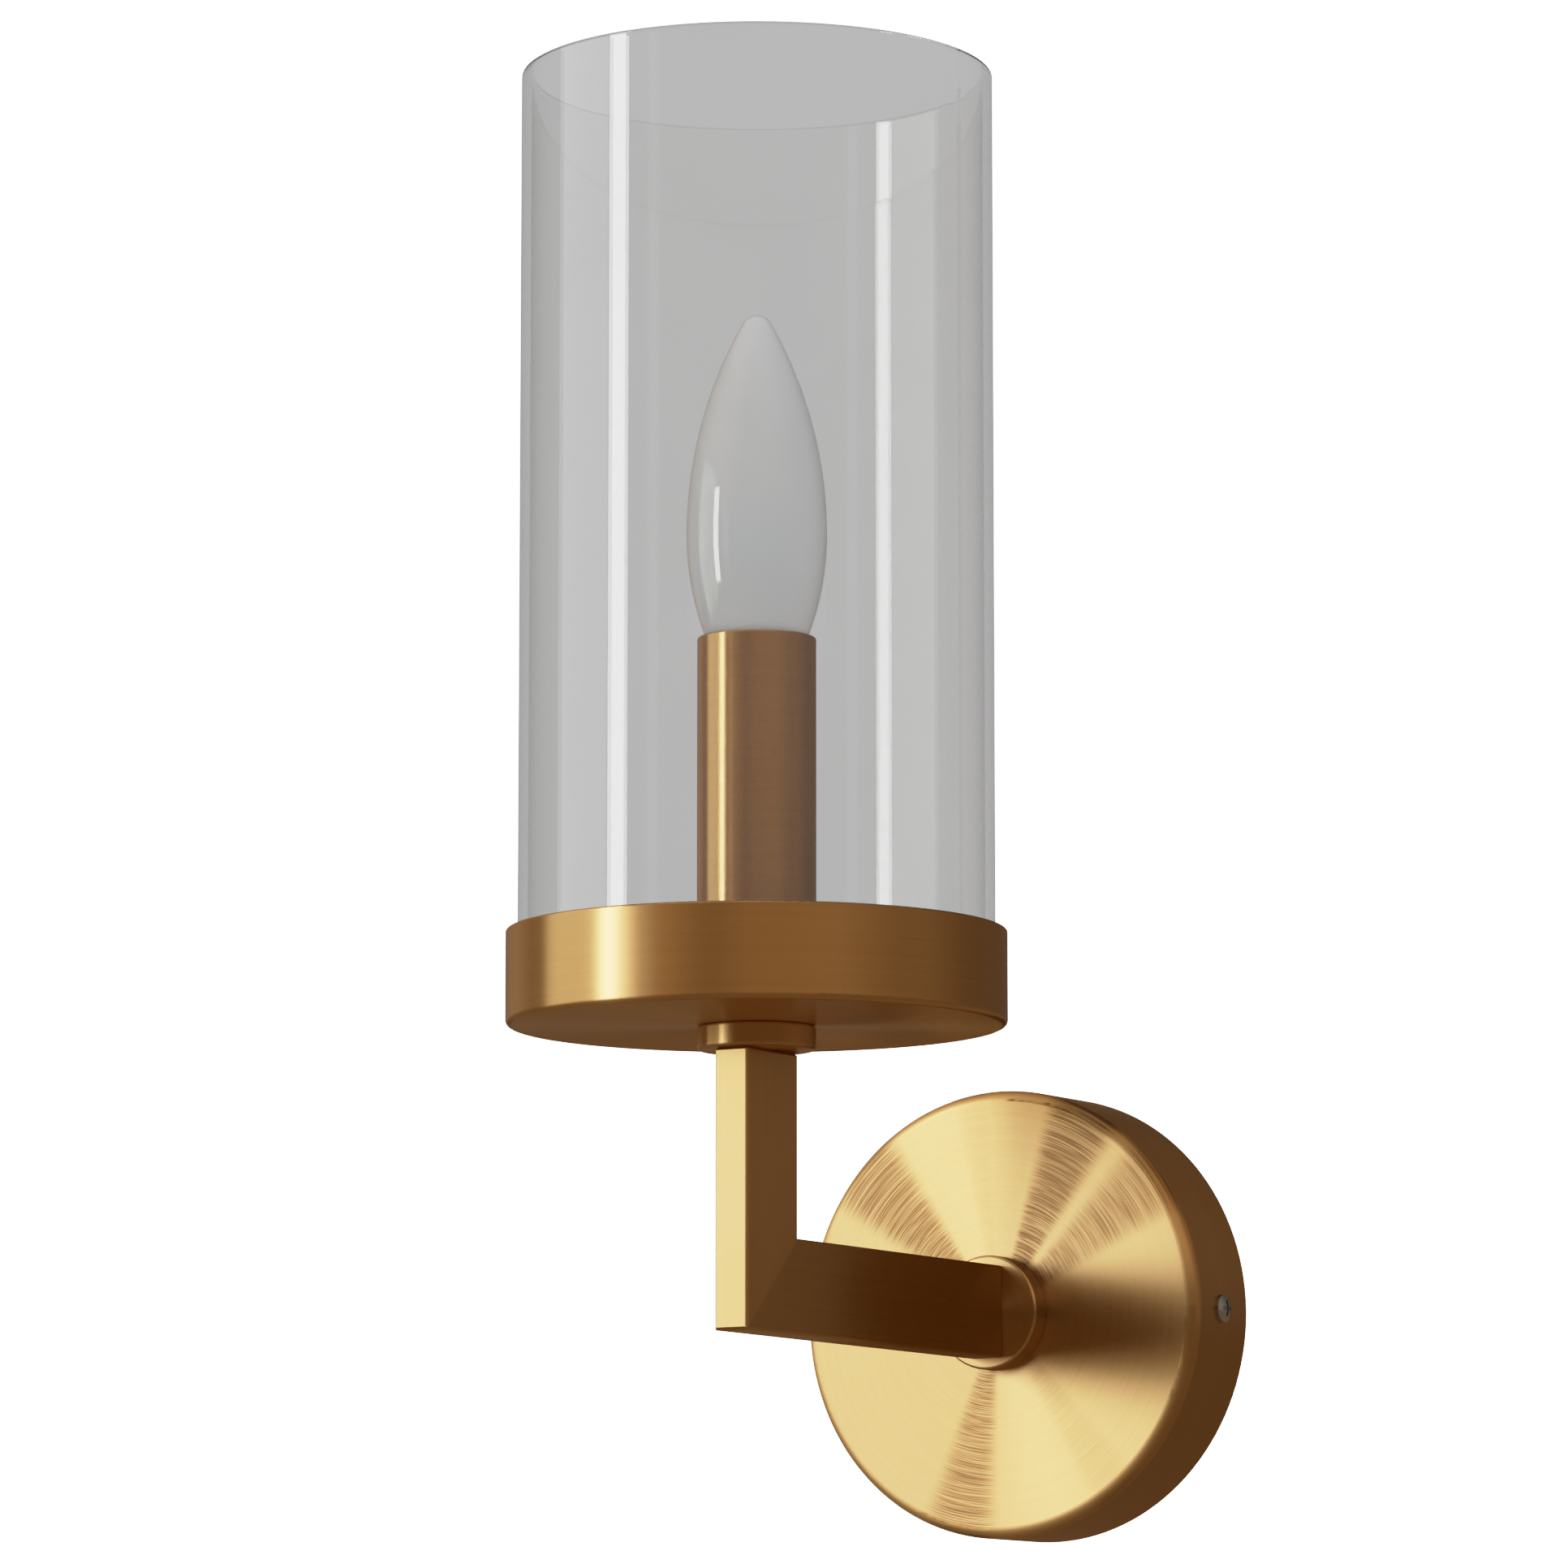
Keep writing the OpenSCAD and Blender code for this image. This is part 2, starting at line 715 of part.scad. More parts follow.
// Centre contact: a rivet through the insert, with a strap underneath to the live terminal
module lampholder_contact() {
    rivet_r = 1.5;
    head_r = 2.5;
    head_h = 0.9;
    strap_l = holder_terminal_x - holder_terminal_size[0] / 2;
    color(plain_brass) on_lamp_axis(insert_z) {
        translate([0, 0, -strap_t]) cylinder(h = insert_t + strap_t + head_h / 2, r = rivet_r);
        translate([0, 0, insert_t]) cylinder(h = head_h, r = head_r);
        translate([-strap_l, -strap_w / 2, -strap_t]) cube([strap_l, strap_w, strap_t]);
    }
}

// Threaded shell of the lampholder, with a flange at its foot and a tab down to the neutral terminal
module lampholder_shell() {
    flange_t = 0.5;
    tab_x = holder_terminal_x + holder_terminal_size[0] / 2;
    color(steel) on_lamp_axis(insert_top_z) {
        ring(shell_r + shell_wall, shell_r, shell_h);
        ring(shell_flange_r, shell_r, flange_t);
        translate([tab_x, -strap_w / 2, -insert_t - 4]) cube([strap_t, strap_w, insert_t + 4 + flange_t]);
    }
}

module lampholder_skirt() {
    flange_t = 0.5;
    joint_top = insert_z + base_spigot_h + 0.2;
    shoulder = insert_top_z + flange_t;
    color(cream) on_lamp_axis() difference() {
        translate([0, 0, insert_z]) cylinder(h = skirt_top_z - insert_z, r = holder_r);
        translate([0, 0, insert_z - past]) {
            cylinder(h = skirt_top_z - insert_z + 2 * past, r = skirt_bore_r);
            cylinder(h = shoulder - insert_z + past, r = spigot_in_r);
            cylinder(h = joint_top - insert_z + past, r = spigot_out_r + slip);
        }
    }
}

// ---- bulb ----

module bulb_contact() {
    color(steel) on_lamp_axis(seat_z) rotate_extrude()
        low_edge_outline(contact_r, contact_h - slip / 2, 0.6);
}

module bulb_insulator() {
    collar_h = cap_bottom_z - seat_z - contact_h;
    color([0.10, 0.10, 0.11]) on_lamp_axis(seat_z + contact_h) rotate_extrude() {
        polygon([[0, 0], [contact_r + 0.6, 0], [cap_r - 0.6, collar_h], [0, collar_h]]);
        translate([0, collar_h]) square([cap_r - cap_wall - slip, 2]);
    }
}

module bulb_cap() {
    flare_z = cap_top_z - cap_flange_h - cap_flare_h;
    flange_z = cap_top_z - cap_flange_h;
    color(steel) on_lamp_axis() rotate_extrude() polygon([
        [cap_r - cap_wall, cap_bottom_z],
        [cap_r, cap_bottom_z],
        [cap_r, flare_z],
        [cap_flange_r, flange_z],
        [cap_flange_r, cap_top_z],
        [cap_flange_r - cap_wall, cap_top_z],
        [cap_flange_r - cap_wall, flange_z],
        [cap_r - cap_wall, flare_z]
    ]);
}

// Half outline of the bulb above its cap, drawn in by inset
module bulb_outline(inset) {
    intersection() {
        translate([-ogive_x, bulb_mid_z]) circle(r = bulb_ogive_r - inset, $fn = 360);
        translate([0, bulb_mid_z]) square([bulb_r, tip_join_z - bulb_mid_z]);
    }
    intersection() {
        translate([0, tip_centre_z]) circle(r = tip_r - inset);
        translate([0, tip_join_z - 0.01]) square([bulb_r, tip_r]);
    }
    intersection() {
        translate([bulb_r - bulb_lower_r, bulb_mid_z]) circle(r = bulb_lower_r - inset, $fn = 360);
        translate([0, cap_top_z]) square([bulb_r, bulb_mid_z - cap_top_z + 0.01]);
    }
}

module bulb_glass() {
    color([0.95, 0.95, 0.93, 0.8]) on_lamp_axis() rotate_extrude() difference() {
        union() {
            bulb_outline(0);
            translate([0, cap_top_z - neck_h]) square([neck_r, neck_h + past]);
        }
        intersection() {
            bulb_outline(bulb_wall);
            translate([0, cap_top_z + bulb_wall]) square([bulb_r, bulb_tip_z - cap_top_z]);
        }
        translate([0, cap_top_z - neck_h - past]) square([neck_r - bulb_wall, neck_h + 3 * past]);
    }
}

// Glass stem inside the bulb, closing its neck
module bulb_stem() {
    color([0.85, 0.88, 0.88]) on_lamp_axis(cap_top_z - neck_h) {
        cylinder(h = 1, r = neck_r - bulb_wall - slip);
        cylinder(h = stem_h, r = stem_r);
    }
}

// Two light sticks held by wires from the stem
module bulb_filament() {
    stick_x = 4;
    stick_r = 0.8;
    stick_l = 34;
    stick_bottom = -6;
    lead_r = 0.3;
    lead_inset = 0.5;
    color([0.95, 0.80, 0.35]) on_lamp_axis(stem_top_z) {
        cylinder(h = stick_l + stick_bottom - lead_inset + lead_r, r = lead_r);
        for (side = [-1, 1]) {
            translate([side * stick_x, 0, stick_bottom]) cylinder(h = stick_l, r = stick_r);
            translate([0, 0, stick_bottom + stick_l - lead_inset]) rotate([0, side * 90, 0])
                cylinder(h = stick_x, r = lead_r);
            translate([side * stem_r, 0, stick_bottom + lead_inset]) rotate([0, side * 90, 0])
                cylinder(h = stick_x - stem_r, r = lead_r);
        }
    }
}

wall_bracket();
canopy();
canopy_screws();
terminal_block();
terminal_sleeves();
terminal_screws();
terminal_block_screws();
earth_screw();
earth_tag();
earth_wire();
live_wire();
neutral_wire();
arm_boss();
arm_nipple();
canopy_lock_washer();
canopy_nut();
nipple_bush();
arm();
dish_collar();
centre_tube();
dish();
locating_washer();
dish_nut();
glass_cushion();
glass_cylinder();
candle_sleeve();
lampholder_base();
lampholder_grub_screw();
lampholder_insert();
lampholder_terminals();
lampholder_contact();
lampholder_shell();
lampholder_skirt();
bulb_contact();
bulb_insulator();
bulb_cap();
bulb_glass();
bulb_stem();
bulb_filament();
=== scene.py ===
import math

import bpy
from mathutils import Matrix, Vector


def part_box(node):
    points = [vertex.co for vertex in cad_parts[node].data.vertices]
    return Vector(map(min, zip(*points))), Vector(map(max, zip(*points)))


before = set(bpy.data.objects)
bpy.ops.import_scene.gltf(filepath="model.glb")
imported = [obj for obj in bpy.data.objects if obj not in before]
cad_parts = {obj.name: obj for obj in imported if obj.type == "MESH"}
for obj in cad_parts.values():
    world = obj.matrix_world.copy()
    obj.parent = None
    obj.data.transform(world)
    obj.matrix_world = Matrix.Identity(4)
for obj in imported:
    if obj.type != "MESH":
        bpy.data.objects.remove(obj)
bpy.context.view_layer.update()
scene = bpy.context.scene

# The lamp's vertical axis and the ends that materials are measured from, all from the CAD nodes
sleeve_lo, sleeve_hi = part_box("candle_sleeve")
dish_lo, dish_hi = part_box("dish")
AXIS = Vector(((sleeve_lo[0] + sleeve_hi[0]) / 2, (sleeve_lo[1] + sleeve_hi[1]) / 2, 0))

# ---------------------------------------------------------------- camera

CAMERA_PLACE = (0.9731, -1.7223, -0.1386)
CAMERA_YAW, CAMERA_PITCH = 31.524, 8.141
LENS, SENSOR = 170.43, 36
NEAREST, FARTHEST = 0.05, 60


def make_camera():
    """Looks up at the lamp from its right, level across."""
    yaw, pitch = math.radians(CAMERA_YAW), math.radians(CAMERA_PITCH)
    forward = Vector((-math.sin(yaw) * math.cos(pitch), math.cos(yaw) * math.cos(pitch), math.sin(pitch)))
    right = Vector((math.cos(yaw), math.sin(yaw), 0))
    up = right.cross(forward)
    data = bpy.data.cameras.new("camera")
    data.lens, data.sensor_width = LENS, SENSOR
    data.clip_start, data.clip_end = NEAREST, FARTHEST
    cam = bpy.data.objects.new("camera", data)
    turned = Matrix((right, up, -forward)).transposed().to_4x4()
    cam.matrix_world = Matrix.Translation(CAMERA_PLACE) @ turned
    scene.collection.objects.link(cam)
    scene.camera = cam


# ---------------------------------------------------------------- node helpers


class Nodes:
    """Short ways to build one node tree."""

    def __init__(self, tree):
        self.tree = tree
        tree.nodes.clear()

    def new(self, kind, **settings):
        node = self.tree.nodes.new(kind)
        for key, value in settings.items():
            setattr(node, key, value)
        return node

    def put(self, socket, value):
        """Sets an input to a number or colour, or links an output to it."""
        if isinstance(value, bpy.types.NodeSocket):
            self.tree.links.new(value, socket)
        elif value is not None:
            socket.default_value = value

    def fill(self, node, values, output=0):
        """Sets inputs, given by index or name, and returns the output of the node."""
        for key, value in values.items():
            self.put(node.inputs[key], value)
        return node.outputs[output]

    def math(self, operation, a, b=None, c=None, clamp=False):
        node = self.new("ShaderNodeMath", operation=operation, use_clamp=clamp)
        return self.fill(node, {0: a, 1: b, 2: c})

    def mix(self, factor, a, b):
        """Colour a where factor is 0, and b where it is 1."""
        node = self.new("ShaderNodeMix", data_type="RGBA")
        return self.fill(node, {0: factor, 6: a, 7: b}, output=2)

    def mix_value(self, factor, a, b):
        node = self.new("ShaderNodeMix", data_type="FLOAT")
        return self.fill(node, {0: factor, 2: a, 3: b})

    def mix_vector(self, factor, a, b):
        node = self.new("ShaderNodeMix", data_type="VECTOR")
        return self.fill(node, {0: factor, 4: a, 5: b}, output=1)

    def between(self, value, low, high, to_low=0.0, to_high=1.0):
        """Goes smoothly from to_low to to_high while value goes from low to high."""
        node = self.new("ShaderNodeMapRange", interpolation_type="SMOOTHSTEP")
        return self.fill(node, {0: value, 1: low, 2: high, 3: to_low, 4: to_high})

    def noise(self, vector, scale, detail, rough):
        node = self.new("ShaderNodeTexNoise")
        return self.fill(node, {"Vector": vector, "Scale": scale, "Detail": detail, "Roughness": rough})

    def combine(self, x, y, z):
        return self.fill(self.new("ShaderNodeCombineXYZ"), {0: x, 1: y, 2: z})

    def bump(self, height, strength, distance):
        node = self.new("ShaderNodeBump")
        return self.fill(node, {"Strength": strength, "Distance": distance, "Height": height})


def new_material(name):
    """A new material, the helper for its nodes, and its main shader."""
    mat = bpy.data.materials.new(name)
    mat.use_nodes = True
    n = Nodes(mat.node_tree)
    shader = n.new("ShaderNodeBsdfPrincipled")
    n.put(n.new("ShaderNodeOutputMaterial").inputs["Surface"], shader.outputs[0])
    return mat, n, shader


def position(n):
    """The point's place in the part's frame, as one vector and as x, y and z."""
    parts = n.new("ShaderNodeSeparateXYZ")
    where = n.new("ShaderNodeTexCoord").outputs["Object"]
    n.put(parts.inputs[0], where)
    return where, parts.outputs[0], parts.outputs[1], parts.outputs[2]


def give(mat, *nodes):
    """Puts the material on the named CAD nodes."""
    for name in nodes:
        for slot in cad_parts[name].material_slots:
            slot.material = mat


# ---------------------------------------------------------------- brass

BRASS = (0.76, 0.495, 0.212, 1)
BRASS_PALE = (0.83, 0.575, 0.28, 1)
BRASS_DEEP = (0.66, 0.40, 0.15, 1)
# The colour of painted shade: the canopy's dark reflection spokes and its darker side wall
BRASS_PAINTED_SHADE = (0.30, 0.16, 0.055, 1)
BRASS_ROUGH = 0.34
BRASS_ANISOTROPIC = 0.92
BRASS_COAT, BRASS_COAT_ROUGH = 0.25, 0.12
BRUSHING = 0.4  # how strongly the brushing changes colour, roughness and bump
CLOUD_TONE, SPECK_TONE, EDGE_HIGHLIGHT = 0.35, 0.25, 0.55  # how strongly these change the colour; the last is a painted highlight on edges
SIDE_SHADE = 0.35  # how much of the painted shade colour the canopy's side wall has
# How much smoother edges with a painted highlight are, and how much rougher and more raised places with
# painted shade are
EDGE_SMOOTH, PAINTED_SHADE_ROUGH, PAINTED_SHADE_HEIGHT = 0.08, 0.05, 1.5
SPOKE_LINE_CONTRAST = (0.64, 0.96, 0.25, 1.5)  # noise from and to, and what multiplies a spoke at each

# Noise features in a metre; the spoke lines break up the canopy's painted shade
GROOVES_FINE, GROOVES_WIDE = 5200, 900
CLOUDS, SPECKS = 22, 420
SPOKE_LINES_FINE, SPOKE_LINES_WIDE = 6500, 2900

# How much a step counts in the brushing's noise beside one across it: SIDE_LEAN is for a step over to a side
# wall, and the others are for one lengthwise. The second of these is for the fine arc lines in the painted
# shade of the canopy's spokes
SIDE_LEAN = 1.3
ARC_STRETCH, SPOKE_LINE_STRETCH, DRAWN_STRETCH = 0.0006, 0.0004, 0.006

# Places and sizes in metres
BRUSH_DEPTH = 0.00003
NEAR_AXIS = 0.0005  # the brushing's direction is blurred within this radius, which avoids a division by 0
COLLAR_EDGE = 0.0146  # radius of the two collars' edges with a painted highlight
DISH_ROUND = 0.0006  # height above its bottom of the dish's lower edge with a painted highlight
CANOPY_SIDE, SIDE_FADE = 0.003, 0.001  # where the painted shade on the canopy's side wall begins behind its front, and how softly
COLLAR_HIGHLIGHT, DISH_HIGHLIGHT, SLEEVE_HIGHLIGHT = 0.0006, 0.0008, 0.0007  # width of the edges with a painted highlight

# Spokes of painted shade on the canopy's front, the dark streaks of its reflection fan broken into fine arc
# lines: (degrees from +X towards +Z, half width, strength)
SPOKES = (
    (136, 15, 0.85),
    (63, 13, 0.95),
    (36, 13, 0.6),
    (98, 6, 0.12),
    (258, 13, 0.7),
    (307, 9, 0.2),
)


def brass_surface(n, shader, where, grooves, tangent, edge=None, painted_shade=None):
    """Satin lacquered brass.

    grooves is a vector whose first axis runs across the brushing, and tangent runs along it. The last two
    arguments are how much painted highlight an edge has and how much painted shade the place has; the places
    with painted shade are also rougher and raised.
    """
    fine = n.noise(grooves, GROOVES_FINE, 2, 0.6)
    wide = n.noise(grooves, GROOVES_WIDE, 3, 0.6)
    cloud = n.noise(where, CLOUDS, 3, 0.55)
    speck = n.noise(where, SPECKS, 2, 0.5)
    tone = n.mix_value(0.35, wide, fine)
    colour = n.mix(n.between(tone, 0.33, 0.67, 1 - BRUSHING, 1.0), BRASS_DEEP, BRASS)
    colour = n.mix(n.between(cloud, 0.42, 0.72, 0.0, CLOUD_TONE), colour, BRASS_PALE)
    colour = n.mix(n.between(speck, 0.66, 0.78, 0.0, SPECK_TONE), colour, BRASS_DEEP)
    roughness = n.math("MULTIPLY_ADD", wide, 0.10 * BRUSHING, BRASS_ROUGH - 0.05 * BRUSHING)
    roughness = n.math("MULTIPLY_ADD", cloud, 0.06, n.math("SUBTRACT", roughness, 0.03))
    # Painted highlight on edges, which are also made smoother
    if edge is not None:
        colour = n.mix(n.math("MULTIPLY", edge, EDGE_HIGHLIGHT), colour, BRASS_PALE)
        roughness = n.math("MULTIPLY_ADD", edge, -EDGE_SMOOTH, roughness)
    height = n.math("MULTIPLY", n.math("ADD", n.math("MULTIPLY", fine, 0.4), wide), BRUSHING)
    # Painted shade, the canopy's dark reflection spokes and darker side wall, which are also made rougher
    # and raised
    if painted_shade is not None:
        colour = n.mix(painted_shade, colour, BRASS_PAINTED_SHADE)
        roughness = n.math("MULTIPLY_ADD", painted_shade, PAINTED_SHADE_ROUGH, roughness)
        height = n.math("MULTIPLY_ADD", painted_shade, PAINTED_SHADE_HEIGHT, height)
    shader.inputs["Metallic"].default_value = 1
    shader.inputs["Anisotropic"].default_value = BRASS_ANISOTROPIC
    shader.inputs["Anisotropic Rotation"].default_value = 0.25
    shader.inputs["Coat Weight"].default_value = BRASS_COAT
    shader.inputs["Coat Roughness"].default_value = BRASS_COAT_ROUGH
    n.put(shader.inputs["Base Color"], colour)
    n.put(shader.inputs["Roughness"], roughness)
    n.put(shader.inputs["Tangent"], tangent)
    n.put(shader.inputs["Normal"], n.bump(height, 0.35, BRUSH_DEPTH))


def drawn_round(n, across, cos, sin, stretch):
    """A noise vector drawn out round the axis: the smaller stretch, the longer its features."""
    return n.combine(across, n.math("MULTIPLY", cos, stretch), n.math("MULTIPLY", sin, stretch))


def spun_brass(name, about, edges=(), rays=(), side=None):
    """Brass turned about the lamp's axis ("Z") or the canopy's ("Y"), brushed round.

    edges lists (what, place, width) of edges with a painted highlight, and rays lists (degrees, half width,
    strength) of spokes of painted shade, the dark streaks of the reflection fan broken into fine arc lines.
    side is where the painted shade of the side wall begins.
    """
    mat, n, shader = new_material(name)
    where, x, y, z = position(n)
    if about == "Z":
        u, v, along = x, n.math("SUBTRACT", y, AXIS.y), z
    else:
        u, v, along = x, z, y
    radius = n.math("SQRT", n.math("ADD", n.math("MULTIPLY", u, u), n.math("MULTIPLY", v, v)))
    safe = n.math("MAXIMUM", radius, NEAR_AXIS)
    cos, sin = n.math("DIVIDE", u, safe), n.math("DIVIDE", v, safe)
    across = n.math("MULTIPLY_ADD", along, SIDE_LEAN, radius)
    grooves = drawn_round(n, across, cos, sin, ARC_STRETCH)
    back = n.math("MULTIPLY", sin, -1)
    tangent = n.combine(back, cos, 0.0) if about == "Z" else n.combine(back, 0.0, cos)
    # Edges with a painted highlight
    edge = None
    for what, place, width in edges:
        value = {"radius": radius, "along": along}[what]
        near = n.between(n.math("ABSOLUTE", n.math("SUBTRACT", value, place)), 0.0, width, 1.0, 0.0)
        edge = near if edge is None else n.math("MAXIMUM", edge, near)
    # Spokes of painted shade, the dark streaks of the canopy's reflection fan, broken into fine arc lines
    painted_shade = None
    for degrees, half_width, strength in rays:
        a = math.radians(degrees)
        beside = n.math("ADD", n.math("MULTIPLY", cos, math.cos(a)), n.math("MULTIPLY", sin, math.sin(a)))
        spoke = n.between(beside, math.cos(math.radians(half_width)), 1.0, 0.0, strength)
        painted_shade = spoke if painted_shade is None else n.math("MAXIMUM", painted_shade, spoke)
    if painted_shade is not None:
        arcs = drawn_round(n, radius, cos, sin, SPOKE_LINE_STRETCH)
        coarse = n.math("MULTIPLY", n.noise(arcs, SPOKE_LINES_WIDE, 2, 0.6), 0.6)
        lines = n.math("ADD", n.noise(arcs, SPOKE_LINES_FINE, 1, 0.6), coarse)
        painted_shade = n.math("MULTIPLY", painted_shade, n.between(lines, *SPOKE_LINE_CONTRAST), clamp=True)
    # Painted shade on the canopy's side wall behind its front
    if side is not None:
        wall = n.between(along, side, side + SIDE_FADE, 0.0, SIDE_SHADE)
        painted_shade = wall if painted_shade is None else n.mix_value(n.math("GREATER_THAN", along, side), painted_shade, wall)
    brass_surface(n, shader, where, grooves, tangent, edge, painted_shade)
    return mat


def drawn_brass(name):
    """Brass of the arm: brushed along each leg of the L, with the two directions meeting at its corner."""
    mat, n, shader = new_material(name)
    where, x, y, z = position(n)
    upright = n.math("GREATER_THAN", n.math("SUBTRACT", z, n.math("SUBTRACT", y, AXIS.y)), 0.0)
    rising_across = n.math("ADD", x, n.math("MULTIPLY", y, SIDE_LEAN))
    level_across = n.math("ADD", x, n.math("MULTIPLY", z, SIDE_LEAN))
    rising = n.combine(rising_across, 0.0, n.math("MULTIPLY", z, DRAWN_STRETCH))
    level = n.combine(level_across, 0.0, n.math("MULTIPLY", y, DRAWN_STRETCH))
    grooves = n.mix_vector(upright, level, rising)
    tangent = n.mix_vector(upright, n.combine(0.0, 1.0, 0.0), n.combine(0.0, 0.0, 1.0))
    brass_surface(n, shader, where, grooves, tangent)
    return mat


# ---------------------------------------------------------------- other materials

GLASS_TINT = (0.99, 0.992, 0.992, 1)
GLASS_HAZE = (0.97515, 0.97712, 0.97712, 1)
OPAL = (0.915, 0.93, 0.95, 1)
OPAL_PALE = (0.935, 0.95, 0.97, 1)
USUAL_IOR = 1.5


def grained(name, colour, rough, spread, bump, scale, cloud_scale, play, depth):
    """One colour, clouded by spread, with a fine grain that plays on the roughness and the bump."""
    mat, n, shader = new_material(name)
    where, _, _, _ = position(n)
    grain = n.noise(where, scale, 3, 0.6)
    cloud = n.noise(where, cloud_scale, 2, 0.5)
    dark = tuple(c * (1 - 2 * spread) for c in colour) + (1,)
    light = tuple(min(1, c * (1 + spread)) for c in colour) + (1,)
    n.put(shader.inputs["Base Color"], n.mix(n.between(cloud, 0.3, 0.7), dark, light))
    n.put(shader.inputs["Roughness"], n.math("MULTIPLY_ADD", grain, play, rough - play / 2))
    n.put(shader.inputs["Normal"], n.bump(grain, bump, depth))
    return mat, shader


def metal(name, colour, rough):
    """Plated or turned metal."""
    mat, shader = grained(
        name, colour, rough, spread=0.06, bump=0.2, scale=900, cloud_scale=60, play=0.16, depth=0.00004
    )
    shader.inputs["Metallic"].default_value = 1
    return mat


def moulded(name, colour, rough=0.45, bump=0.12, scale=1600):
    """Plastic, ceramic, rubber and other plain pieces."""
    mat, shader = grained(
        name, colour, rough, spread=0.04, bump=bump, scale=scale, cloud_scale=45, play=0.12, depth=0.00005
    )
    shader.inputs["IOR"].default_value = USUAL_IOR
    return mat


def clear_glass(name):
    """Clear glass with a slight haze."""
    mat, n, shader = new_material(name)
    where, _, _, _ = position(n)
    haze = n.noise(where, 35, 2, 0.5)
    n.put(shader.inputs["Base Color"], n.mix(n.between(haze, 0.3, 0.8), GLASS_TINT, GLASS_HAZE))
    n.put(shader.inputs["Roughness"], n.between(n.noise(where, 240, 3, 0.6), 0.6, 0.9, 0.0, 0.004))
    shader.inputs["Transmission Weight"].default_value = 1
    shader.inputs["IOR"].default_value = USUAL_IOR
    return mat


def opal_glass(name):
    """The bulb's white glass: glossy and opaque."""
    mat, n, shader = new_material(name)
    where, _, _, _ = position(n)
    cloud = n.noise(where, 70, 3, 0.5)
    n.put(shader.inputs["Base Color"], n.mix(n.between(cloud, 0.3, 0.75), OPAL, OPAL_PALE))
    n.put(shader.inputs["Roughness"], n.between(n.noise(where, 500, 2, 0.5), 0.5, 0.8, 0.01, 0.03))
    shader.inputs["IOR"].default_value = USUAL_IOR
    shader.inputs["Coat Weight"].default_value = 1
    shader.inputs["Coat Roughness"].default_value = 0
    shader.inputs["Sheen Weight"].default_value = 1
    shader.inputs["Sheen Roughness"].default_value = 0.35
    return mat


def dress():
    """Gives every node its material."""
    canopy_lo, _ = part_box("canopy")
    # Edges with a painted highlight
    collar_edge = (("radius", COLLAR_EDGE, COLLAR_HIGHLIGHT),)
    dish_edges = (("along", dish_hi[2], DISH_HIGHLIGHT), ("along", dish_lo[2] + DISH_ROUND, DISH_HIGHLIGHT))
    sleeve_edge = (("along", sleeve_hi[2], SLEEVE_HIGHLIGHT),)
    # The canopy has spokes of painted shade and painted shade on its side wall
    give(spun_brass("canopy_brass", "Y", rays=SPOKES, side=canopy_lo[1] + CANOPY_SIDE), "canopy")
    give(spun_brass("boss_brass", "Y", edges=collar_edge), "arm_boss")
    give(spun_brass("collar_brass", "Z", edges=collar_edge), "dish_collar")
    give(spun_brass("dish_brass", "Z", edges=dish_edges), "dish")
    give(spun_brass("sleeve_brass", "Z", edges=sleeve_edge), "candle_sleeve")
    give(drawn_brass("arm_brass"), "arm")
    give(
        metal("turned_brass", (0.80, 0.62, 0.30), 0.3),
        "arm_nipple", "canopy_nut", "centre_tube", "dish_nut",
        "terminal_sleeves", "earth_tag", "lampholder_terminals", "lampholder_contact",
    )
    give(
        metal("zinc", (0.68, 0.79, 0.90), 0.24),
        "wall_bracket", "canopy_screws", "terminal_screws", "terminal_block_screws", "earth_screw",
        "canopy_lock_washer", "locating_washer", "lampholder_grub_screw",
    )
    give(metal("nickel", (0.74, 0.71, 0.66), 0.22), "lampholder_shell", "bulb_cap", "bulb_contact")
    give(
        moulded("cream_plastic", (0.84, 0.82, 0.75)),
        "terminal_block", "nipple_bush", "lampholder_base", "lampholder_skirt",
    )
    give(moulded("white_ceramic", (0.86, 0.85, 0.82), rough=0.6, bump=0.3, scale=900), "lampholder_insert")
    give(moulded("black_glass", (0.02, 0.02, 0.022), rough=0.12, bump=0.05), "bulb_insulator")
    give(moulded("soft_ring", (0.70, 0.70, 0.68), rough=0.5), "glass_cushion")
    give(moulded("brown_insulation", (0.16, 0.065, 0.03), rough=0.4), "live_wire")
    give(moulded("blue_insulation", (0.03, 0.10, 0.36), rough=0.4), "neutral_wire")
    give(moulded("green_insulation", (0.10, 0.30, 0.05), rough=0.4), "earth_wire")
    give(moulded("filament", (0.80, 0.60, 0.15), rough=0.35), "bulb_filament")
    give(clear_glass("clear_glass"), "glass_cylinder")
    give(clear_glass("stem_glass"), "bulb_stem")
    give(opal_glass("opal_glass"), "bulb_glass")


# ---------------------------------------------------------------- studio


def path_flags(n):
    """Each 0 or 1: a camera ray, straight through glass, after a diffuse bounce, mirrored by glass."""
    path = n.new("ShaderNodeLightPath").outputs
    diffuse = n.math("GREATER_THAN", path["Diffuse Depth"], 0.5)
    glossy = n.math("GREATER_THAN", path["Glossy Depth"], 0.5)
    straight = n.math("SUBTRACT", 1.0, n.math("MAXIMUM", diffuse, glossy))
    through = n.math("MULTIPLY", path["Is Transmission Ray"], straight)
    # Four crossings is how brass inside the glass is seen, so those rays stay warm
    inside = n.math("COMPARE", path["Transmission Depth"], 4.0, 0.5)
    mirrored = n.math("MULTIPLY", path["Is Singular Ray"], n.math("SUBTRACT", 1.0, inside))
    return path["Is Camera Ray"], through, diffuse, mirrored


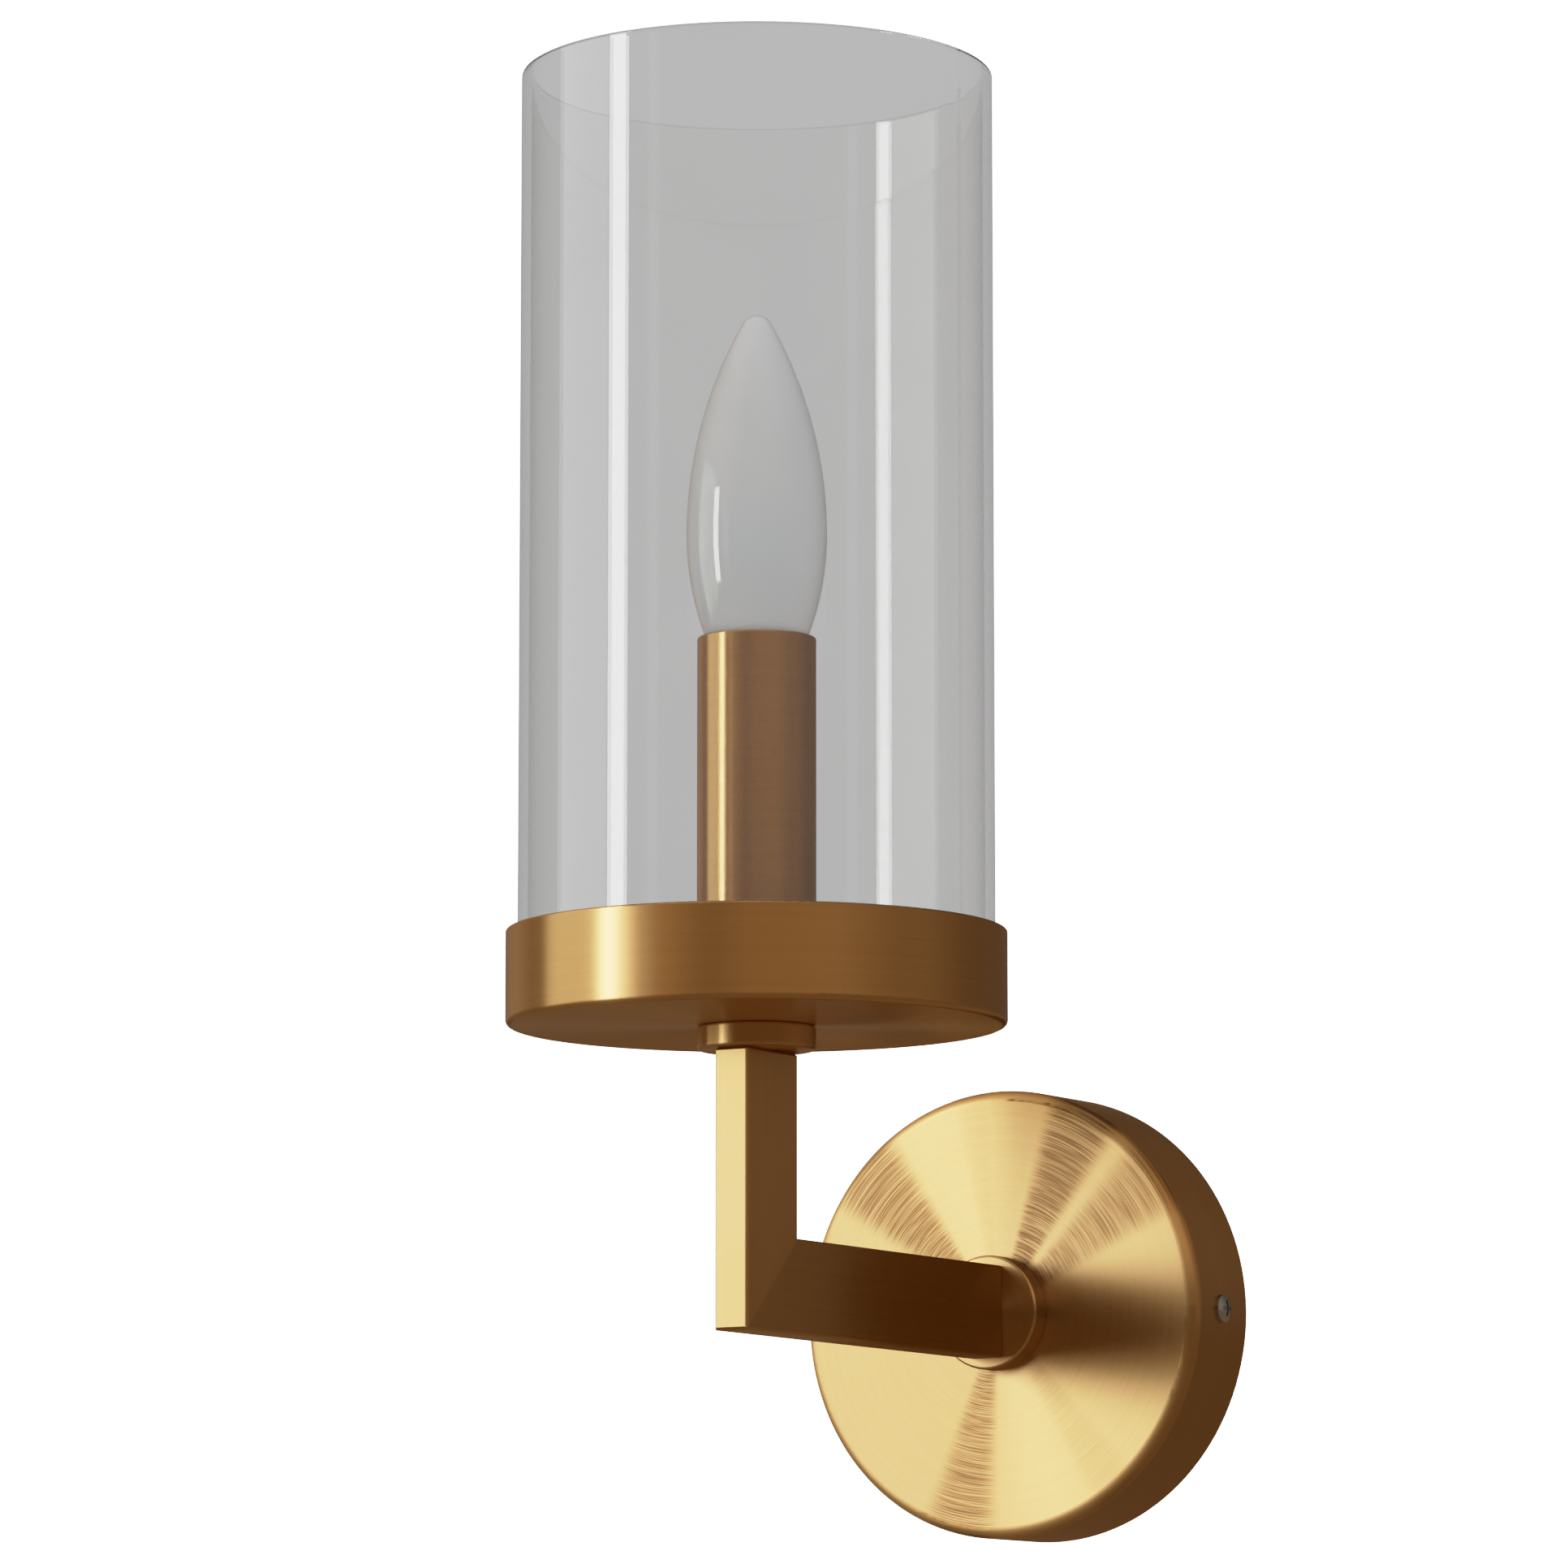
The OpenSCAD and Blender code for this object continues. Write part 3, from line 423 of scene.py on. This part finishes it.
def second_hand(n, share, first):
    """1, or the given share where the ray comes off a second surface: metal mirrored in metal is dim.

    first is the ray depth, without glass crossings, at which the first surface sees the light.
    """
    path = n.new("ShaderNodeLightPath").outputs
    depth = n.math("SUBTRACT", path["Ray Depth"], path["Transmission Depth"])
    return n.mix_value(n.math("GREATER_THAN", depth, first + 0.5), 1.0, share)


def by_ray(n, brushed, mirrored_tone, diffuse_tone, through_tone, camera_tone):
    """The colour that each kind of ray sees; brushed metal sees the first."""
    camera, through, diffuse, mirrored = path_flags(n)
    colour = n.mix(mirrored, brushed, (*mirrored_tone, 1))
    colour = n.mix(diffuse, colour, (*diffuse_tone, 1))
    colour = n.mix(through, colour, (*through_tone, 1))
    return n.mix(camera, colour, (*camera_tone, 1))


# What glass mirrors, what a diffuse bounce meets, what shows through glass and what the camera sees
WORLD_TONES = ((0.45, 0.45, 0.45), (0.80, 0.80, 0.80), (0.51, 0.51, 0.51), (3.0, 3.0, 3.0))
FLOOR_TONES = ((0.40, 0.40, 0.40), (0.72, 0.72, 0.71), (0.47, 0.47, 0.465), (1.25, 1.24, 1.22))
FLOOR_BROWN = (0.165, 0.099, 0.052, 1)
LIGHT_IN_GLASS = (1.13, 1.13, 1.14, 1)
WORLD_SECOND, LIGHT_SECOND = 0.38, 0.12  # what is left of the world and of a light at a second surface
FADED = 0.02  # a light isn't there at all where its soft edge is fainter than this

# The surroundings that brushed metal mirrors, by compass direction: (degrees from -Y towards +X, colour)
SURROUND = (
    (-180, (0.21, 0.138, 0.086)),
    (-150, (0.24, 0.160, 0.103)),
    (-110, (0.74, 0.52, 0.345)),
    (-88, (0.43, 0.297, 0.198)),
    (-20, (0.52, 0.355, 0.225)),
    (8, (0.24, 0.163, 0.109)),
    (28, (0.37, 0.250, 0.165)),
    (50, (0.38, 0.260, 0.173)),
    (72, (0.42, 0.288, 0.193)),
    (115, (0.51, 0.347, 0.232)),
    (145, (0.255, 0.170, 0.111)),
    (180, (0.21, 0.138, 0.086)),
)

# How bright the surroundings are low down and how much that rises, and the parts of the direction over which
# they rise and go from front to behind
LOW_BEHIND, LOW_FRONT = 0.52, 0.30
RISE_BEHIND, RISE_FRONT = -0.07, 1.20
RISE_FROM_TO = (0.04, 0.42)
FRONT_TO_BEHIND = (-0.4, 0.3)


def surroundings(n, direction):
    """The surroundings' colour in a direction, and their brightness at its height."""
    parts = n.new("ShaderNodeSeparateXYZ")
    n.put(parts.inputs[0], direction)
    turn = n.math("ARCTAN2", parts.outputs[0], n.math("MULTIPLY", parts.outputs[1], -1))
    ramp = n.new("ShaderNodeValToRGB")
    n.put(ramp.inputs[0], n.math("MULTIPLY_ADD", turn, 0.5 / math.pi, 0.5))
    stops = ramp.color_ramp.elements
    while len(stops) < len(SURROUND):
        stops.new(0.5)
    for stop, (degrees, colour) in zip(stops, SURROUND):
        stop.position = degrees / 360 + 0.5
        stop.color = (*colour, 1)
    front = n.between(parts.outputs[1], *FRONT_TO_BEHIND, 1.0, 0.0)
    low = n.mix_value(front, LOW_BEHIND, LOW_FRONT)
    gain = n.mix_value(front, RISE_BEHIND, RISE_FRONT)
    lift = n.math("MULTIPLY_ADD", n.between(parts.outputs[2], *RISE_FROM_TO), gain, low)
    return ramp.outputs[0], lift


def make_world():
    """The bright backdrop, and the surroundings that metal and glass mirror."""
    world = bpy.data.worlds.new("studio")
    scene.world = world
    world.use_nodes = True
    world.cycles.sampling_method = "NONE"
    n = Nodes(world.node_tree)
    colour, lift = surroundings(n, n.new("ShaderNodeTexCoord").outputs["Generated"])
    scale = n.new("ShaderNodeVectorMath", operation="SCALE")
    n.put(scale.inputs[0], colour)
    n.put(scale.inputs["Scale"], n.math("MULTIPLY", second_hand(n, WORLD_SECOND, 2), lift))
    background = n.new("ShaderNodeBackground")
    n.put(background.inputs[0], by_ray(n, scale.outputs[0], *WORLD_TONES))
    n.put(n.new("ShaderNodeOutputWorld").inputs[0], background.outputs[0])


def plane(name, corners):
    """A four-cornered studio piece, with UVs from 0 to 1."""
    mesh = bpy.data.meshes.new(name)
    mesh.from_pydata([tuple(c) for c in corners], [], [(0, 1, 2, 3)])
    mesh.uv_layers.new(name="across")
    for loop, uv in zip(mesh.uv_layers[0].data, ((0, 0), (1, 0), (1, 1), (0, 1))):
        loop.uv = uv
    piece = bpy.data.objects.new(name, mesh)
    scene.collection.objects.link(piece)
    return piece


FLOOR_LEVEL, FLOOR_REACH = -0.45, 9.0


def make_floor():
    """A glowing floor that goes on from the backdrop."""
    corners = ((-1, -1), (1, -1), (1, 1), (-1, 1))
    floor = plane("floor", [(x * FLOOR_REACH, y * FLOOR_REACH, FLOOR_LEVEL) for x, y in corners])
    mat = bpy.data.materials.new("floor")
    mat.use_nodes = True
    mat.cycles.emission_sampling = "NONE"
    n = Nodes(mat.node_tree)
    glow = n.new("ShaderNodeEmission")
    n.put(glow.inputs[0], by_ray(n, FLOOR_BROWN, *FLOOR_TONES))
    n.put(n.new("ShaderNodeOutputMaterial").inputs[0], glow.outputs[0])
    floor.data.materials.append(mat)


def softbox(name, turn, distance, width, low, high, colour, power, fade, in_glass=True):
    """A soft light standing round the lamp: turn is its compass direction in degrees.

    low and high are heights, and fade is the softness of its left, right, low and high edges. A light that
    isn't in_glass shows only in brushed metal.
    """
    a = math.radians(turn)
    out = Vector((math.sin(a), -math.cos(a), 0))
    side = Vector((math.cos(a), math.sin(a), 0)) * width / 2
    left, right = AXIS + out * distance - side, AXIS + out * distance + side
    low_edge, high_edge = Vector((0, 0, low)), Vector((0, 0, high))
    panel = plane(name, [left + low_edge, right + low_edge, right + high_edge, left + high_edge])
    panel.visible_camera = False
    panel.visible_shadow = False
    mat = bpy.data.materials.new(name)
    mat.use_nodes = True
    n = Nodes(mat.node_tree)
    _, unseen, _, mirrored = path_flags(n)
    if not in_glass:
        unseen = n.math("MAXIMUM", unseen, n.new("ShaderNodeLightPath").outputs["Is Singular Ray"])
    uv = n.new("ShaderNodeSeparateXYZ")
    n.put(uv.inputs[0], n.new("ShaderNodeTexCoord").outputs["UV"])
    level = 1.0
    for place, (start, end) in zip(uv.outputs, (fade[:2], fade[2:])):
        level = n.math("MULTIPLY", level, n.between(place, 0.0, start))
        level = n.math("MULTIPLY", level, n.between(place, 1 - end, 1.0, 1.0, 0.0))
    glow = n.new("ShaderNodeEmission")
    strength = n.math("MULTIPLY", level, power)
    n.put(glow.inputs["Color"], n.mix(mirrored, (*colour, 1), LIGHT_IN_GLASS))
    n.put(glow.inputs["Strength"], n.math("MULTIPLY", second_hand(n, LIGHT_SECOND, 1), strength))
    clear = n.new("ShaderNodeBsdfTransparent")
    shown = n.new("ShaderNodeMixShader")
    n.put(shown.inputs[0], n.math("MAXIMUM", unseen, n.math("LESS_THAN", level, FADED)))
    n.put(shown.inputs[1], glow.outputs[0])
    n.put(shown.inputs[2], clear.outputs[0])
    n.put(n.new("ShaderNodeOutputMaterial").inputs[0], shown.outputs[0])
    panel.data.materials.append(mat)


# name, turn, distance, width, low, high, colour, power, fade, in_glass
LIGHTS = (
    ("light_strip", -39.05, 2.5, 0.424, -0.25, 1.08, (1.0, 0.985, 0.94), 7.5, (0.02, 0.03, 0.08, 0.06)),
    (
        "light_strip_end", -26.95, 2.5, 0.636, -0.25, 0.92,
        (1.0, 0.97, 0.90), 3.0, (0.01, 0.9, 0.08, 0.06), False,
    ),
    ("light_side", -60.3, 1.12, 0.70, -0.12, 0.68, (1.0, 0.96, 0.80), 1.16, (0.01, 0.03, 0.10, 0.06)),
    ("light_faint", -19.5, 2.5, 0.29, -0.15, 1.00, (1.0, 0.97, 0.92), 0.6, (0.05, 0.05, 0.08, 0.06)),
)


def make_studio():
    """Sets up all that is seen, mirrored or lights the lamp round it."""
    make_world()
    make_floor()
    for light in LIGHTS:
        softbox(*light)


# Tone curve: straight in the darks, with a soft shoulder up to white at this level
WHITE = 2.8
SHOULDER = (
    (0.15, 0.15),
    (0.30, 0.298),
    (0.46, 0.448),
    (0.65, 0.612),
    (0.90, 0.735),
    (1.18, 0.825),
    (1.60, 0.895),
    (2.17, 0.952),
)


def make_tone():
    """Sets the tone curve of the picture."""
    tone = scene.view_settings
    tone.view_transform, tone.look = "Standard", "None"
    tone.use_curve_mapping = True
    curves = tone.curve_mapping
    curves.white_level = (WHITE, WHITE, WHITE)
    for level, shown in SHOULDER:
        curves.curves[3].points.new(level / WHITE, shown)
    curves.update()


make_camera()
make_tone()
make_studio()
dress()
